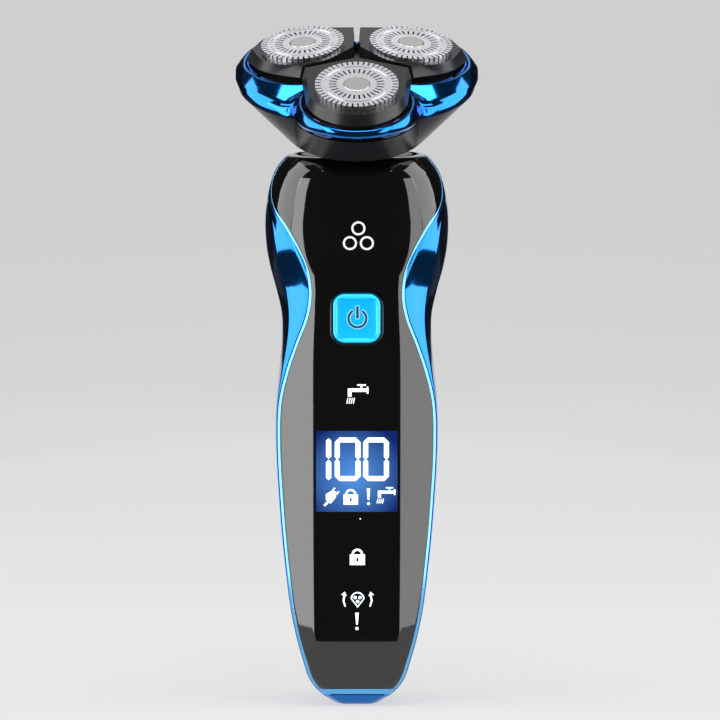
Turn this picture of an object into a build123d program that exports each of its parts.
"""Rotary electric shaver: a cordless handle with a tilting three-cutter head.

Millimetres, +Z up, front towards -Y. The origin is the centre of the flat foot under the handle.
"""
import math
import os

from build123d import *

# ---- driving dimensions -------------------------------------------------------------------
# Handle stations from the foot to the shoulder: height, half width, front depth, back depth,
# half width of the black front cover, half width of the crease in the blue side.
STATIONS = [
    (0, 5.2, 4.8, 4.8, 3.6, 4.4),
    (1.2, 7, 6.3, 6.6, 5.2, 6.2),
    (3, 9.5, 8.1, 8.8, 7.6, 8.7),
    (6, 11.6, 9.9, 10.9, 10.3, 11.2),
    (12, 13.8, 11.9, 12.9, 12.5, 13.4),
    (22, 16.2, 13.7, 14.8, 15, 15.8),
    (36, 18.2, 15.1, 16.3, 16.89, 17.69),
    (52, 19.6, 15.7, 17, 18.3, 19.1),
    (68, 20.35, 15.8, 17, 19.05, 19.85),
    (77, 20.1, 15.5, 16.3, 18.66, 19.55),
    (85, 19.3, 15.1, 15.2, 16.79, 18.29),
    (92, 18.7, 14.8, 14.4, 14.39, 17.09),
    (98, 18.8, 14.9, 14.5, 12.12, 16.57),
    (104, 20.1, 15.6, 15.3, 11.13, 16.91),
    (109.5, 21.6, 16.6, 16.4, 11.72, 18.28),
    (115, 22.6, 17.5, 17.1, 13.82, 19.72),
    (120.5, 22.9, 18, 17.4, 16.94, 20.64),
    (126, 22.5, 17.9, 16.9, 20.75, 21.85),
    (131, 21.5, 17.2, 15.7, 21.1, 21.35),
    (134.5, 20.1, 16.2, 14.3, 19.75, 19.95),
    (138, 17.3, 14.2, 12.2, 17, 17.2),
]
SHOULDER = STATIONS[-1][0]
STRIP_HALF = 10.25          # half width of the flat strip down the middle of the front
FACET_SLOPE = math.tan(math.radians(25))
CREASE_SLOPE = 1.1
DOME_POWER = 2.6
BACK_POWER = 2.3
WALL = 1.8
COVER_BOTTOM = 4.6
TRIM_WIDTH = 0.9
JOINT_GAP = 0.07            # between shells that meet along a curved seam
TRIM_BOTTOM = 3.0
GRIP_BOTTOM = 32.0
GRIP_TOP = 114.0
GRIP_HALF = 10.5
SOCKET_Z = 9.0
SCREW_LENGTH = 8.0
SCREW_PLACES = [(-6.5, 21.0), (6.5, 21.0), (-7.5, 123.0), (7.5, 123.0)]

BUTTON_Z = 98.2
BUTTON_SIZE = (11.75, 12.1)
DISPLAY_SIZE = (20.3, 20.2)
DISPLAY_Z = 60.0

DRIVE_Y = -3.0              # the motor, the neck and the pivot share this vertical line
PIVOT_Z = 148.2
HEAD_LEAN = 22.0            # the head's forward lean at rest, degrees
GUARD_PLANE = 16.0          # height of the guards' top faces above the pivot
GUARD_CIRCLE = 15.6         # radius of the circle through the three guard centres
GUARD_RADIUS = 10.35
POD_LEAN = 6.0
POD_ANGLES = {"front": -90.0, "right": 30.0, "left": 150.0}
POD_TOP = 1.3               # pod top below the guard's top
POD_BOTTOM = 4.2
POD_TILT = 3.0

SUN_TEETH = 36
DRIVEN_TEETH = 16
GEAR_MODULE = 0.6
TRAY_LEVEL = 2.5
GEAR_LEVEL = 3.8
GEAR_THICK = 1.6
COVER_LEVEL = 5.7
POST_CIRCLE = 13.0

# Outlines of the head at four heights above the pivot: front lobe and right lobe circles.
LOBE_LEVELS = [
    (12.6, (0, -15.6, 13.4), (12.8, 9.0, 14.4)),
    (11.6, (0, -15.4, 13.9), (12.6, 8.8, 15.0)),
    (8.0, (0, -12.6, 16.3), (10.2, 6.6, 20.2)),
    (5.5, (0, -11.0, 16.0), (9.2, 5.2, 20.2)),
]
# Each pod's outline at its top and at its lower edge: circle (x, y, radius) and corners.
POD_EDGES = {
    "front": [((0, -15.6, 12.0), [(-12.8, -6.1), (0, -1.2), (12.8, -6.1)]),
              ((0, -15.7, 12.8), [(-13.6, -6.6), (0, -1.2), (13.6, -6.6)])],
    "side": [((13.9, 8.3, 11.6), [(0.95, 17.7), (0.95, 5.5), (13.6, -3.9), (26.3, 9.3)]),
             ((14.7, 9.4, 12.2), [(0.95, 18.2), (0.95, 5.3), (14.5, -4.7), (28.2, 9.2)])],
}
RIM_LEVEL = -4.0
BOSS_RADIUS = 11.6          # opening in the lower cover around the pivot's ball
RIM_RADIUS = 18.5

pieces = {}


# ---- handle sections ----------------------------------------------------------------------
def station_at(z):
    """The station at any height, straight between its neighbours."""
    for low, high in zip(STATIONS, STATIONS[1:]):
        if low[0] <= z <= high[0]:
            share = (z - low[0]) / (high[0] - low[0])
            return [z] + [a + (b - a) * share for a, b in zip(low[1:], high[1:])]
    return list(STATIONS[-1])


def front_y(z):
    """Y of the flat front strip at a height."""
    return -station_at(z)[2]


def front_point(station, x, inset=0.0):
    """A point on the front: flat strip, slanted facet and creased side, rounding into the dome."""
    z, half, front, back, edge, crease = station
    strip = min(STRIP_HALF, 0.93 * edge - 0.2)
    shrink = (half - inset) / half
    flat_y = inset - front + max(min(x, edge) - strip, 0) * shrink * FACET_SLOPE
    flat_y = min(flat_y + max(x - edge, 0) * shrink * CREASE_SLOPE, -0.18 * front)
    round_y = (inset - front) * (1 - (x / half) ** DOME_POWER) ** (1 / DOME_POWER)
    share = min(max((z - 98) / 26, 0), 1)
    share = share * share * (3 - 2 * share)
    return x * shrink, flat_y + (round_y - flat_y) * share


def back_points(station, first_x, inset=0.0):
    """The round back, from a point on the right side to the same point on the left."""
    z, half, front, back, edge, crease = station
    side = [front_point(station, first_x, inset)]
    if first_x < crease:
        side.append(front_point(station, crease, inset))
    for turn in (0, 10, 22, 34, 46, 58, 70, 80, 90):
        c, s = math.cos(math.radians(turn)), math.sin(math.radians(turn))
        side.append(((half - inset) * c ** (2 / BACK_POWER), (back - inset) * s ** (2 / BACK_POWER)))
    return side + [(-x, y) for x, y in side[-2::-1]]


def front_runs(station, edge, inset=0.0):
    """Runs of points across the front: left facet, flat strip and right facet."""
    strip = min(STRIP_HALF, 0.93 * station[4] - 0.2)
    right = [front_point(station, strip + (edge - strip) * share / 3, inset) for share in range(4)]
    left = [(-x, y) for x, y in right[::-1]]
    return [left, [left[-1], right[0]], right]


def wall_face(z, outer, inner):
    """A closed wall section at one height, between outer and inner runs of points."""
    runs = outer + [[outer[-1][-1], inner[-1][-1]]]
    runs += [run[::-1] for run in inner[::-1]] + [[inner[0][0], outer[0][0]]]
    with BuildSketch(Plane.XY.offset(z)) as sketch:
        with BuildLine():
            for run in runs:
                Line(*run) if len(run) == 2 else Spline(*run)
        make_face()
    return sketch.sketch


def heights(low, high):
    """Station heights between two ends, with the ends."""
    return [low] + [s[0] for s in STATIONS if low + 0.8 < s[0] < high - 0.8] + [high]


def cover_wall(low, high, widen=0.0):
    """The front wall between two heights."""
    faces = []
    for z in heights(low, high):
        station = station_at(z)
        edge = min(station[4] + widen, 0.985 * station[1])
        faces.append(wall_face(z, front_runs(station, edge), front_runs(station, edge, WALL)))
    return loft(faces)


def edge_strip(low, high, start, stop, outer, inner):
    """A narrow strip that follows the cover's right edge, between two insets of the wall."""
    faces = []
    for z in heights(low, high):
        station = station_at(z)
        limit = station[1]
        xs = [min(station[4] + start, 0.9875 * limit), min(station[4] + stop, 0.992 * limit)]
        faces.append(wall_face(z, [[front_point(station, x, outer) for x in xs]],
                               [[front_point(station, x, inner) for x in xs]]))
    return loft(faces)


def back_wall(low, high):
    """The rear housing's wall between two heights, open at the front."""
    faces = []
    for z in heights(low, high):
        station = station_at(z)
        first = min(station[4] + TRIM_WIDTH + JOINT_GAP, 0.995 * station[1])
        faces.append(wall_face(z, [back_points(station, first)], [back_points(station, first, WALL)]))
    return loft(faces)


def full_section(z, inset=0.0):
    """The whole closed section at a height."""
    station = station_at(z)
    edge = station[4]
    runs = front_runs(station, edge, inset) + [back_points(station, edge, inset)]
    with BuildSketch(Plane.XY.offset(z)) as sketch:
        with BuildLine():
            for run in runs:
                Line(*run) if len(run) == 2 else Spline(*run)
        make_face()
    return sketch.sketch


def rounded_block(width, height, radius, z, y_front, y_back):
    """A rounded rectangle seen from the front, between two depths."""
    plane = Plane(origin=(0, y_front, z), x_dir=(1, 0, 0), z_dir=(0, 1, 0))
    return extrude(plane * RectangleRounded(width, height, radius), amount=y_back - y_front)


def rod(radius, low, high, x=0.0, y=0.0):
    """An upright cylinder between two heights."""
    return Pos(x, y, low) * Cylinder(radius, high - low, align=(Align.CENTER, Align.CENTER, Align.MIN))


def back_rod(radius, low, high, x, z):
    """A cylinder that points to the back, between two depths."""
    return Pos(x, low, z) * Rotation(-90, 0, 0) * rod(radius, 0, high - low)


def block(x0, x1, y0, y1, z0, z1):
    """A box between two corners."""
    return Pos((x0 + x1) / 2, (y0 + y1) / 2, (z0 + z1) / 2) * Box(x1 - x0, y1 - y0, z1 - z0)


def drive_rod(radius, low, high):
    """A cylinder on the motor's axis."""
    return rod(radius, low, high, y=DRIVE_Y)


# ---- handle shells ------------------------------------------------------------------------
def make_shells():
    """Front cover, trim, rear housing, grip and the button's frame."""
    cover = cover_wall(COVER_BOTTOM, SHOULDER)
    trim = cover_wall(TRIM_BOTTOM, COVER_BOTTOM, TRIM_WIDTH)
    strip = edge_strip(COVER_BOTTOM, SHOULDER, JOINT_GAP, TRIM_WIDTH, 0.0, WALL)
    trim = trim + strip + mirror(strip, about=Plane.YZ)
    housing = back_wall(TRIM_BOTTOM, SHOULDER)
    pieces["bottom_cap"] = loft([full_section(s[0]) for s in STATIONS[:2]] + [full_section(TRIM_BOTTOM)])

    window = block(-DISPLAY_SIZE[0] / 2, DISPLAY_SIZE[0] / 2, -25, -8,
                   DISPLAY_Z - DISPLAY_SIZE[1] / 2, DISPLAY_Z + DISPLAY_SIZE[1] / 2)
    pieces["display_window"] = cover & window
    cover -= window
    face = front_y(BUTTON_Z)
    width, height = BUTTON_SIZE
    cover -= rounded_block(width + 1.6, height + 1.6, 3.6, BUTTON_Z, face - 3, face + 4)
    surround = rounded_block(width + 1.6, height + 1.6, 3.6, BUTTON_Z, face - 0.35, face + 2.0)
    surround -= rounded_block(width + 0.5, height + 0.5, 3.1, BUTTON_Z, face - 3, face + 4)
    pieces["button_surround"] = surround
    button = rounded_block(width, height, 2.9, BUTTON_Z, face - 0.8, face + 0.9)
    dish = rounded_block(width - 2.2, height - 2.2, 2.0, BUTTON_Z, face - 3, face - 0.55)
    pieces["power_button"] = button - dish
    pieces["button_membrane"] = rounded_block(width + 1.2, height + 1.2, 3.4, BUTTON_Z,
                                              face + 2.0, face + 2.5)

    opening = Plane(origin=(0, 4, SOCKET_Z), x_dir=(1, 0, 0), z_dir=(0, 1, 0))
    housing -= extrude(opening * SlotOverall(9.2, 3.4), amount=20)
    for x, z in SCREW_PLACES:
        housing -= back_rod(1.1, 4, 25, x, z)
        housing -= back_rod(2.1, screw_seat(x, z), 25, x, z)
    pieces["rear_grip"] = make_grip()
    pieces["front_cover"] = cover
    pieces["trim_ring"] = trim
    pieces["rear_housing"] = housing
    gasket = edge_strip(8.0, 118.0, -0.8, 0.8, WALL + 0.35, WALL + 1.0)
    pieces["housing_gasket"] = gasket + mirror(gasket, about=Plane.YZ)


def screw_seat(x, z):
    """Depth of a housing screw's seat under the curved back."""
    station = station_at(z)
    share = (abs(x) / station[1]) ** BACK_POWER
    return station[3] * (1 - share) ** (1 / BACK_POWER) - 1.1


def make_grip():
    """A ribbed rubber pad on the back, rounded at both ends."""
    faces = []
    middle, reach = (GRIP_TOP + GRIP_BOTTOM) / 2, (GRIP_TOP - GRIP_BOTTOM) / 2
    count = 17
    for step in range(count):
        place = -math.cos(math.pi * step / (count - 1)) * 0.9995
        z = middle + reach * place
        half = GRIP_HALF * (1 - abs(place) ** 6) ** 0.5
        station = station_at(z)
        outer, inner = [], []
        for share in (-1, -0.6, -0.2, 0.2, 0.6, 1):
            x = half * share
            y = station[3] * (1 - (abs(x) / station[1]) ** BACK_POWER) ** (1 / BACK_POWER)
            inner.append((x, y + 0.17))
            outer.append((x, y + 1.0 - 0.3 * abs(share) ** 4))
        faces.append(wall_face(z, [outer], [inner]))
    return loft(faces)


# ---- handle insides -----------------------------------------------------------------------
def make_handle_insides():
    """Chassis, board, battery, motor, socket, seals and screws."""
    face = front_y(BUTTON_Z)
    board_front = face + 3.7
    board = block(-8.5, 8.5, board_front, board_front + 1.0, 20, 104)
    pieces["control_board"] = board
    pieces["tact_switch"] = block(-3, 3, face + 2.6, board_front, BUTTON_Z - 3, BUTTON_Z + 3)
    pieces["display_module"] = block(-9.8, 9.8, front_y(DISPLAY_Z) + 2.3, board_front,
                                     DISPLAY_Z - 9.6, DISPLAY_Z + 9.6)
    board_back = board_front + 1.0
    battery_y = 4.6
    chassis = block(-8.0, 8.0, board_back, board_back + 1.4, 18, 105)
    chassis += drive_rod(10.3, 104.5, 125)
    cradle = rod(8.6, 30, 34, y=battery_y) - rod(7.2, 29, 35, y=battery_y)
    cradle += Pos(0, 0, 34) * cradle
    chassis += cradle & block(-9, 9, -10, battery_y, 0, 80)
    for side in (-1, 1):
        chassis += block(side * 7.4 - 0.6, side * 7.4 + 0.6, board_back, 0.6, 30, 34)
        chassis += block(side * 7.4 - 0.6, side * 7.4 + 0.6, board_back, 0.6, 64, 68)
    chassis -= rod(7.2, 20, 76, y=battery_y)
    screws = None
    for x, z in SCREW_PLACES:
        seat = screw_seat(x, z)
        screw = back_rod(1.0, seat - SCREW_LENGTH, seat, x, z) + back_rod(1.9, seat, seat + 0.7, x, z)
        screw -= block(x - 1.2, x + 1.2, seat + 0.3, seat + 1, z - 0.25, z + 0.25)
        screws = screw if screws is None else screws + screw
        chassis += back_rod(2.0, seat - SCREW_LENGTH - 0.5, seat - 1.8, x, z)
        chassis += block(x - 1, x + 1, board_back, seat - SCREW_LENGTH - 0.3, z - 1.5, z + 1.5)
        if z > 105:
            chassis += block(x - 1, x + 1, board_back, board_back + 1.4, 100, z + 1.5)
    chassis -= drive_rod(9.05, 106, 130)
    chassis -= block(-7.5, 7.5, front_y(BUTTON_Z), board_back, BUTTON_Z - 8, BUTTON_Z + 8)
    chassis -= screws
    pieces["housing_screws"] = screws
    pieces["chassis"] = chassis

    pieces["battery"] = (rod(7.1, 25.5, 73.5, y=battery_y) + rod(2.4, 73.5, 74.3, y=battery_y))
    pieces["battery_tabs"] = (block(-2, 2, battery_y - 11, battery_y + 3, 74.3, 74.6)
                              + block(-2, 2, battery_y - 11, battery_y + 3, 25.2, 25.5))
    pieces["motor_end_bell"] = drive_rod(9.0, 106, 108.5)
    can = drive_rod(9.0, 108.5, 128) + drive_rod(3.2, 128, 129.5)
    pieces["motor_can"] = can - drive_rod(1.05, 120, 130)
    pieces["motor_shaft"] = drive_rod(1.0, 120.5, 145.5)
    coupler = drive_rod(2.9, 141.5, PIVOT_Z + 0.7) - drive_rod(2.15, 146.2, 150)
    coupler -= drive_rod(1.0, 141, 145.5)
    pieces["drive_coupler"] = coupler
    collar = extrude(full_section(SHOULDER, WALL + 0.4), amount=-1.8)
    collar += drive_rod(8.5, 133.2, SHOULDER) + drive_rod(9.2, SHOULDER, 139.6)
    collar -= drive_rod(7.2, 135.2, 140) + drive_rod(3.0, 133, 136)
    pieces["neck_collar"] = collar
    pieces["neck_seal"] = drive_rod(3.0, 133.2, 135.2) - drive_rod(1.06, 133, 136)

    back = Plane(origin=(0, 4.4, SOCKET_Z), x_dir=(1, 0, 0), z_dir=(0, 1, 0))
    socket = extrude(back * SlotOverall(9.0, 3.2), amount=7.0)
    socket -= extrude(back.offset(1.0) * SlotOverall(8.2, 2.5), amount=8)
    pieces["charging_socket"] = socket + block(-3.3, 3.3, 5.2, 10.4, SOCKET_Z - 0.35, SOCKET_Z + 0.35)
    pieces["charge_board"] = block(-6, 6, 3.2, 4.4, 5.4, 16.5)


# ---- head ---------------------------------------------------------------------------------
HEAD = Plane(origin=(0, DRIVE_Y, PIVOT_Z), x_dir=(1, 0, 0),
             z_dir=(0, -math.sin(math.radians(HEAD_LEAN)), math.cos(math.radians(HEAD_LEAN))))


def on_head(shape):
    """Take a shape from the head's own frame (pivot at the origin) into the row's frame."""
    return HEAD.location * shape


def guard_centre(name):
    """Centre of one guard in the head's plane."""
    turn = math.radians(POD_ANGLES[name])
    return GUARD_CIRCLE * math.cos(turn), GUARD_CIRCLE * math.sin(turn)


def pod_frame(name):
    """Leaning frame of one pod: Z out of the guard, X along the tangent, Y towards the centre."""
    x, y = guard_centre(name)
    return Pos(x, y, GUARD_PLANE) * Rotation(0, 0, POD_ANGLES[name] + 90) * Rotation(POD_LEAN, 0, 0)


def lobes(inset, low_index, high_index):
    """The head's three lobes between two of its levels, as one solid."""
    solid = None
    for name in POD_ANGLES:
        circles = []
        for level, front, side in LOBE_LEVELS[high_index:low_index + 1]:
            x, y, radius = front if name == "front" else side
            x = -x if name == "left" else x
            circles.append(Pos(x, y, level) * Circle(radius - inset))
        lobe = loft(circles[::-1], ruled=True)
        solid = lobe if solid is None else solid + lobe
    return solid


def skirt(inset, extend=0.0):
    """The lower cover's three skewed cones from the widest outline in to the round rim."""
    level, front, side = LOBE_LEVELS[-1]
    solid = None
    for name in POD_ANGLES:
        x, y, radius = front if name == "front" else side
        x = -x if name == "left" else x
        top = Pos(x, y, level + extend) * Circle(radius - inset)
        turn = math.radians(POD_ANGLES[name])
        rim = Pos(math.cos(turn), math.sin(turn), RIM_LEVEL) * Circle(RIM_RADIUS - 1 - inset)
        lobe = loft([rim, top], ruled=True)
        solid = lobe if solid is None else solid + lobe
    return solid


def pod_outline(name, lower, grow=0.0):
    """A pod's plan outline in the head's plane: a circle round the guard and sharp corners."""
    (x, y, radius), corners = POD_EDGES["front" if name == "front" else "side"][1 if lower else 0]
    side = -1 if name == "left" else 1
    x *= side
    points = []
    for corner_x, corner_y in corners:
        reach = math.hypot(side * corner_x - x, corner_y - y)
        spread = 1 + grow / reach
        points.append((x + (side * corner_x - x) * spread, y + (corner_y - y) * spread))
    with BuildSketch() as sketch:
        with BuildLine():
            CenterArc((x, y), radius + grow, 0, 360)
            Polyline(*points)
        make_hull()
    return sketch.sketch


def make_pods():
    """Pods, guards, guard discs and rotating cutters."""
    for name, angle in POD_ANGLES.items():
        x, y = guard_centre(name)
        top = GUARD_PLANE - POD_TOP
        low = GUARD_PLANE - POD_BOTTOM
        body = loft([Pos(0, 0, low) * pod_outline(name, True),
                     Pos(0, 0, top) * pod_outline(name, False)], ruled=True)
        body += rod(11.0, low - 0.4, low, x, y)
        body -= rod(GUARD_RADIUS, low - 2, top + 1, x, y)
        lean = (Pos(x, y, GUARD_PLANE) * Rotation(0, 0, angle + 90) * Rotation(POD_LEAN, 0, 0)
                * Rotation(0, 0, -angle - 90) * Pos(-x, -y, -GUARD_PLANE))
        pieces[f"pod_{name}"] = on_head(lean * body)
        frame = pod_frame(name)
        guard = rod(GUARD_RADIUS, -4.4, 0) - rod(GUARD_RADIUS - 0.45, -5, -0.45)
        guard -= rod(3.3, -1, 1)
        groove = rod(8.2, -0.12, 1) - rod(7.9, -0.2, 1)
        slots = None
        for ring_in, ring_out, count in ((5.0, 6.9, 30), (8.9, 11.0, 45)):
            for step in range(count):
                slot = Rotation(0, 0, 360 / count * step) * block(ring_in, ring_out, -0.22, 0.22, -1.2, 1)
                slots = [slot] if slots is None else slots + [slot]
        pieces[f"guard_{name}"] = on_head(frame * (guard - groove - slots))
        disc = rod(3.3, -0.9, 0.15)
        pieces[f"guard_disc_{name}"] = on_head(frame * fillet(disc.edges().sort_by(Axis.Z)[-1], 0.3))
        cutter = rod(9.3, -2.0, -1.4) - rod(6.4, -3, 0) + rod(3.5, -5.5, -1.4)
        for step in range(15):
            arm = block(2.8, 9.0, -0.35, 0.35, -1.9, -1.4) + block(5.0, 9.0, -0.35, 0.35, -1.4, -0.7)
            cutter += Rotation(0, 0, 24 * step) * arm
        cutter -= rod(2.8, -6, -2.2)
        pieces[f"cutter_{name}"] = on_head(frame * cutter)


def gear(teeth, level, thick, first_tooth):
    """A spur gear with straight-sided teeth, its first tooth at an angle in degrees."""
    pitch_radius = GEAR_MODULE * teeth / 2
    pitch = 360 / teeth
    points = []
    for tooth in range(teeth):
        middle = first_tooth + tooth * pitch
        for radius, share in ((pitch_radius - 0.75, -0.27), (pitch_radius + 0.5, -0.11),
                              (pitch_radius + 0.5, 0.11), (pitch_radius - 0.75, 0.27)):
            turn = math.radians(middle + share * pitch)
            points.append((radius * math.cos(turn), radius * math.sin(turn)))
    return extrude(Pos(0, 0, level) * Polygon(*points, align=None), amount=thick)


def triangle_plate(radius, low, high):
    """A rounded triangular plate under the three pods."""
    with BuildSketch() as sketch:
        with BuildLine():
            for name in POD_ANGLES:
                CenterArc(guard_centre(name), radius, 0, 360)
        make_hull()
    return Pos(0, 0, low) * extrude(sketch.sketch, amount=high - low)


def make_drive():
    """Input shaft, sun gear, driven gears, spindles and springs, with their tray and cover."""
    tray_top = TRAY_LEVEL + 1.0
    tray = triangle_plate(6.5, TRAY_LEVEL, tray_top) - rod(1.36, 1, 4)
    cover = triangle_plate(6.5, COVER_LEVEL, COVER_LEVEL + 1.0)
    screws = None
    for angle in (-30.0, 90.0, 210.0):
        x = POST_CIRCLE * math.cos(math.radians(angle))
        y = POST_CIRCLE * math.sin(math.radians(angle))
        tray += rod(1.2, tray_top, COVER_LEVEL, x, y)
        tray -= rod(0.7, 3.2, 6, x, y)
        cover -= rod(0.7, 5, 8, x, y)
        screw = rod(0.7, 3.2, COVER_LEVEL + 1.0, x, y) + rod(1.3, COVER_LEVEL + 1.0, COVER_LEVEL + 1.6, x, y)
        screws = screw if screws is None else screws + screw
    shaft = rod(1.3, 1.2, 5.3) + rod(1.0, 0.0, 1.4) + Sphere(1.6)
    pieces["input_shaft"] = on_head(shaft)
    sun = gear(SUN_TEETH, GEAR_LEVEL, GEAR_THICK, -90.0) - rod(1.3, 2, 5.3)
    pieces["sun_gear"] = on_head(sun)
    for name, angle in POD_ANGLES.items():
        x, y = guard_centre(name)
        tray -= rod(1.36, 1, 4, x, y)
        cover -= rod(1.6, 5, 8, x, y)
        wheel = gear(DRIVEN_TEETH, GEAR_LEVEL, GEAR_THICK, angle + 180 + 180 / DRIVEN_TEETH)
        pieces[f"driven_gear_{name}"] = on_head(Pos(x, y, 0) * (wheel - rod(1.3, 2, 7)))
        spindle = rod(1.3, TRAY_LEVEL + 0.1, 9.9)
        spindle += extrude(Pos(0, 0, 9.9) * RegularPolygon(1.75, 6), amount=1.0)
        pieces[f"spindle_{name}"] = on_head(Pos(x, y, 0) * spindle)
        coil = Pos(x, y, 7.4) * Helix(pitch=0.75, height=1.7, radius=1.95)
        wire = Plane(origin=coil @ 0, z_dir=coil % 0) * Circle(0.2)
        pieces[f"spring_{name}"] = on_head(sweep(wire, path=coil))
    pieces["gear_tray"] = on_head(tray)
    pieces["gear_cover"] = on_head(cover)
    pieces["cover_screws"] = on_head(screws)


HINGE_Y = 26.0
HINGE_Z = 5.5


def knuckle(x0, x1, radius):
    """A length of the cap hinge's barrel."""
    return Pos((x0 + x1) / 2, HINGE_Y, HINGE_Z) * Rotation(0, 90, 0) * Cylinder(radius, x1 - x0)


def make_head_shells():
    """Lower cover, ring, pod carrier, hinge, gimbal ring and the plug-in socket."""
    cover = skirt(0.0) - (skirt(1.6, 0.01) & rod(40, -0.4, 6))
    cover -= rod(RIM_RADIUS - 2.6, -5, -1.9)
    cover += rod(BOSS_RADIUS + 1.6, -3.0, TRAY_LEVEL)
    cover -= rod(BOSS_RADIUS, -6, 3)
    pin_bore = Rotation(90, 0, 0) * Cylinder(1.15, 30)
    cover -= pin_bore
    lugs = knuckle(-6.2, -3.2, 1.7) + knuckle(3.2, 6.2, 1.7)
    for side in (-4.7, 4.7):
        lugs += block(side - 1.5, side + 1.5, 20.5, HINGE_Y, 3.0, HINGE_Z - 0.15)
    lugs -= skirt(1.6, 0.01)
    cover += lugs & rod(60, -6, HINGE_Z) + knuckle(-6.2, -3.2, 1.7) + knuckle(3.2, 6.2, 1.7)
    cover -= knuckle(-3.3, 3.3, 2.0)
    cover -= knuckle(-8, 8, 0.95)
    pieces["lower_cover"] = on_head(cover)

    ring = lobes(0.0, 3, 0) - lobes(1.8, 3, 0)
    for name in POD_ANGLES:
        pocket = Pos(0, 0, GUARD_PLANE - POD_BOTTOM - 0.45) * extrude(pod_outline(name, True, 3.0), amount=8)
        x, y = guard_centre(name)
        angle = POD_ANGLES[name]
        for tilt in (0.0, POD_TILT):
            pivot = (Pos(x, y, GUARD_PLANE) * Rotation(0, 0, angle + 90) * Rotation(POD_LEAN, 0, 0)
                     * Pos(0, -13.0, -POD_BOTTOM) * Rotation(-tilt, 0, 0) * Pos(0, 13.0, POD_BOTTOM)
                     * Rotation(0, 0, -angle - 90) * Pos(-x, -y, -GUARD_PLANE))
            ring -= pivot * pocket
    ring += knuckle(-3.0, 3.0, 1.7)
    ring += block(-3.0, 3.0, 21.0, HINGE_Y, HINGE_Z + 0.15, HINGE_Z + 1.7) - lobes(1.8, 3, 0)
    ring -= knuckle(-6.5, -3.05, 2.0) + knuckle(3.05, 6.5, 2.0) + knuckle(-8, 8, 0.95)
    pieces["head_ring"] = on_head(ring)
    pieces["hinge_pin"] = on_head(knuckle(-6.2, 6.2, 0.9))

    carrier = triangle_plate(11.6, 8.6, 9.9) & lobes(1.8, 3, 0)
    for name in POD_ANGLES:
        x, y = guard_centre(name)
        carrier -= rod(7.6, 8, 11, x, y)
    pieces["pod_carrier"] = on_head(carrier)

    gimbal = rod(9.4, -1.4, 1.4) - rod(7.6, -2, 2)
    gimbal += (Rotation(90, 0, 0) * Cylinder(1.1, 2 * BOSS_RADIUS + 2.4)) - rod(8.5, -2, 2)
    gimbal -= Rotation(0, 90, 0) * Cylinder(1.2, 30)
    pieces["gimbal_ring"] = on_head(gimbal)
    pins = (Rotation(0, 90, 0) * Cylinder(1.2, 18.4)) & (block(-10, -4.6, -5, 5, -5, 5)
                                                         + block(4.6, 10, -5, 5, -5, 5))
    pieces["pivot_pins"] = on_head(pins)
    ball_centre = Pos(0, DRIVE_Y, PIVOT_Z)
    bowl = ball_centre * (Sphere(11.2) - Sphere(10.2))
    bowl &= block(-20, 20, -20, 20, 139.8, 160)
    bowl &= on_head(rod(30, -20, -2.9))
    socket = drive_rod(7.1, 135.3, 141.4) + bowl
    for side in (-1, 1):
        ear = block(side * 5.8 - 0.9, side * 5.8 + 0.9, DRIVE_Y - 1.75, DRIVE_Y + 1.75, 140, PIVOT_Z)
        socket += ear + ball_centre * Pos(side * 5.8, 0, 0) * Rotation(0, 90, 0) * Cylinder(1.75, 1.8)
    socket -= drive_rod(4.2, 130, 151)
    socket -= ball_centre * Rotation(0, 90, 0) * Cylinder(1.25, 30)
    pieces["head_socket"] = socket


make_shells()
make_handle_insides()
make_pods()
make_drive()
make_head_shells()

os.makedirs("parts", exist_ok=True)
for node, shape in pieces.items():
    export_step(Compound(children=list(shape.solids())) if len(shape.solids()) > 1 else shape.solids()[0],
                f"parts/{node}.step")
print(len(pieces), "nodes written")
